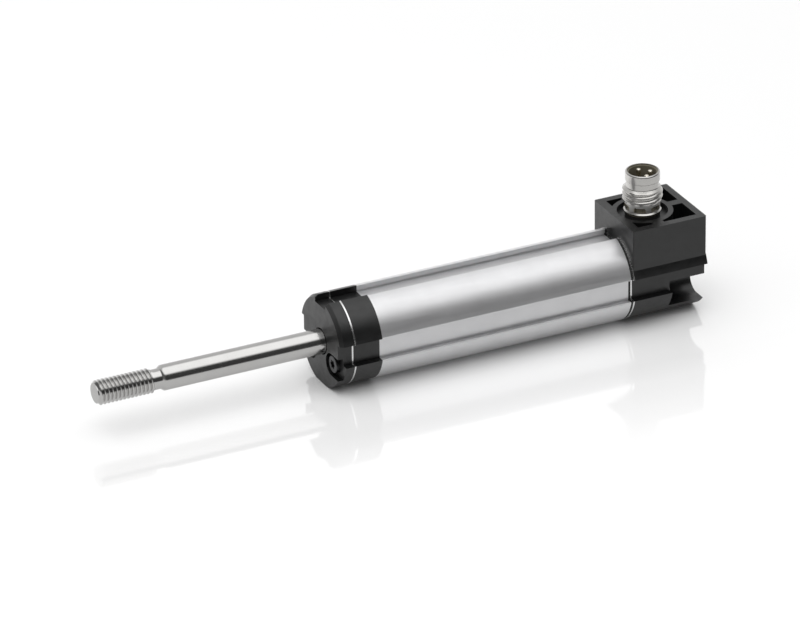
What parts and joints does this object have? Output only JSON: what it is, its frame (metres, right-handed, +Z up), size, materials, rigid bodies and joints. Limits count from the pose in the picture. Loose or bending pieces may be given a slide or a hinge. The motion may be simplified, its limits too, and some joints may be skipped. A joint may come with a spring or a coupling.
{
  "type": "linear potentiometer",
  "caption": "Rod-type linear position sensor: grooved round aluminium profile, black end flanges, sliding steel rod with threaded tip, and an upright round plug at the rear.",
  "frame": {"origin": "centre of the aluminium profile on the rod's axis", "axes": "+X along the rod towards its threaded tip, +Z up through the plug"},
  "size_m": [0.1249, 0.0176, 0.0294],
  "materials": {
    "anodised_aluminium": "satin, clear anodised extrusion",
    "black_plastic": "moulded glass-filled plastic, fine grain",
    "plate_steel": "bright stamped sheet",
    "rod_steel": "ground and polished stainless steel",
    "screw_steel": "plain zinc plated",
    "nickel": "satin nickel plated brass",
    "insert_plastic": "dark olive moulding",
    "gold": "gold plated contact",
    "bearing_bronze": "sintered bearing",
    "seal_rubber": "smooth black elastomer",
    "bumper_rubber": "soft elastomer",
    "board_laminate": "glass laminate",
    "track_ink": "printed conductive plastic",
    "carriage_plastic": "natural acetal",
    "spring_alloy": "noble metal contact spring",
    "spring_steel": "hardened spring steel",
    "lead_brown": "insulated wire",
    "lead_blue": "insulated wire",
    "lead_black": "insulated wire"
  },
  "bodies": {
    "housing": {"housing_profile": "anodised_aluminium", "front_ring": "black_plastic", "front_bush": "bearing_bronze", "front_plate": "plate_steel", "front_cap": "black_plastic", "rod_seal": "seal_rubber", "front_screw_near": "screw_steel", "front_screw_far": "screw_steel", "front_bumper": "bumper_rubber", "rear_gasket": "seal_rubber", "rear_plate": "plate_steel", "rear_flange": "black_plastic", "rear_screw_near": "screw_steel", "rear_screw_far": "screw_steel", "rear_bumper": "bumper_rubber", "track_board": "board_laminate", "resistive_track": "track_ink", "collector_track": "track_ink", "plug_shell": "nickel", "plug_insert": "insert_plastic", "plug_seal": "seal_rubber", "contact_pin_1": "gold", "contact_pin_2": "gold", "contact_pin_3": "gold", "lead_1": "lead_brown", "lead_2": "lead_blue", "lead_3": "lead_black"},
    "carriage": {"wiper_carriage": "carriage_plastic", "wiper_spring": "spring_alloy", "wave_washer": "spring_steel"},
    "push_rod": {"push_rod": "rod_steel", "retaining_ring": "spring_steel"}
  },
  "joints": [
    {"name": "rod_slide", "type": "slide", "parent": "housing", "child": "carriage", "axis": [1, 0, 0], "range_m": [-0.028, 0]},
    {"name": "rod_spin", "type": "hinge", "parent": "carriage", "child": "push_rod", "pos_m": [0.02, 0, 0], "axis": [1, 0, 0], "continuous": true}
  ]
}
